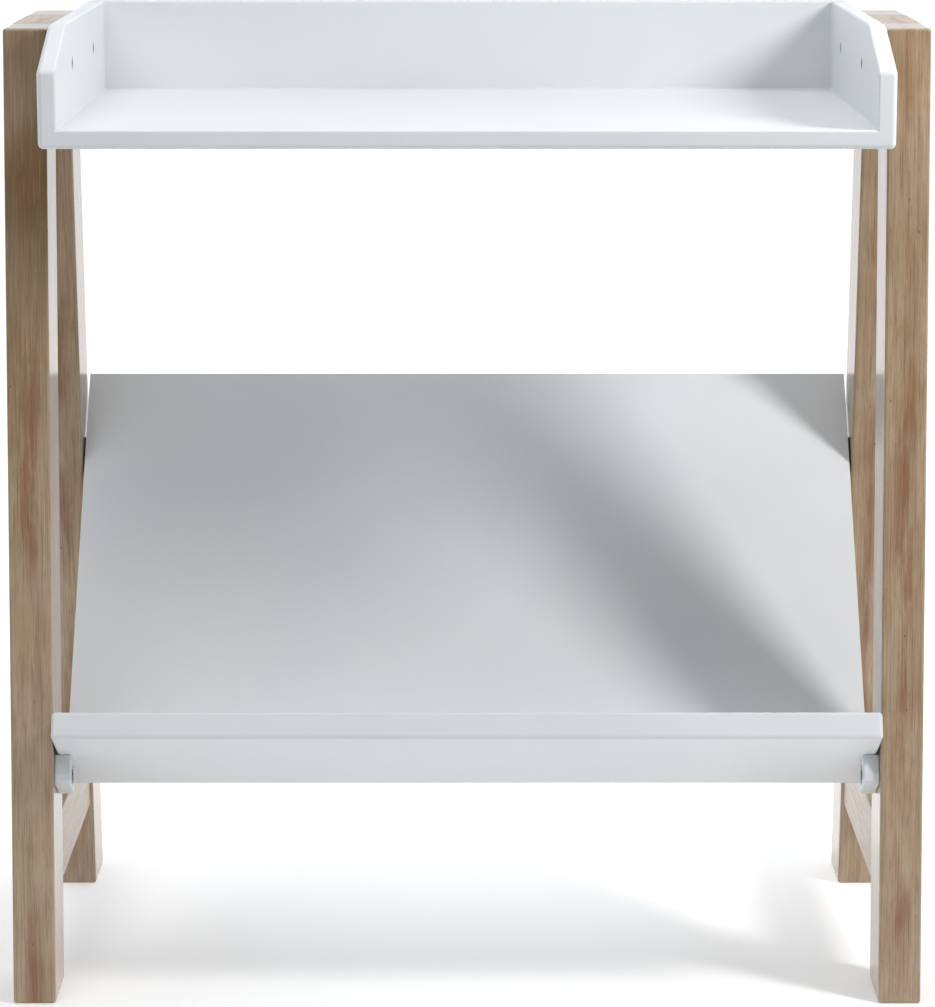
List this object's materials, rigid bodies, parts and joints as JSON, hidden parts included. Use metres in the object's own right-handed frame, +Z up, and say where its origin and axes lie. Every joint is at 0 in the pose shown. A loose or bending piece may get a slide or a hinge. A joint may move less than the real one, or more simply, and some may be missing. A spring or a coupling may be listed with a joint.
{
  "type": "changing table",
  "caption": "Nursery changing table: open-fronted white tray on two A-shaped stained wooden side frames, with a tilted white bin for books and toys between the legs.",
  "frame": {"origin": "on the floor, under the centre of the bounding box", "axes": "+X to the object's right as seen from the front, +Y to the back, +Z up"},
  "size_m": [0.9, 0.4957, 0.96],
  "materials": {
    "stained_wood": "grey-brown weathered stain under a matt lacquer, fine straight grain",
    "white_paint": "cool white satin paint on fibreboard, edges slightly rounded",
    "dowel_wood": "bare beech",
    "steel": "zinc-plated",
    "dark_steel": "dark nickel-plated",
    "spacer_plastic": "natural nylon"
  },
  "bodies": {
    "root": {"bin_back_panel": "white_paint", "bin_dowels": "dowel_wood", "bin_front_block_left": "white_paint", "bin_front_block_right": "white_paint", "bin_rear_block_left": "white_paint", "bin_rear_block_right": "white_paint", "bin_shelf": "white_paint", "block_bolt_inserts": "steel", "block_bolts": "dark_steel", "block_pins": "dowel_wood", "block_washers": "steel", "frame_dowels": "dowel_wood", "front_leg_left": "stained_wood", "front_leg_right": "stained_wood", "rear_leg_left": "stained_wood", "rear_leg_right": "stained_wood", "side_stretcher_left": "stained_wood", "side_stretcher_right": "stained_wood", "top_rail_left": "stained_wood", "top_rail_right": "stained_wood", "tray_back": "white_paint", "tray_bolt_inserts": "steel", "tray_bolts": "dark_steel", "tray_dowels": "dowel_wood", "tray_floor": "white_paint", "tray_screws": "steel", "tray_side_left": "white_paint", "tray_side_right": "white_paint", "tray_spacers": "spacer_plastic"}
  },
  "joints": []
}
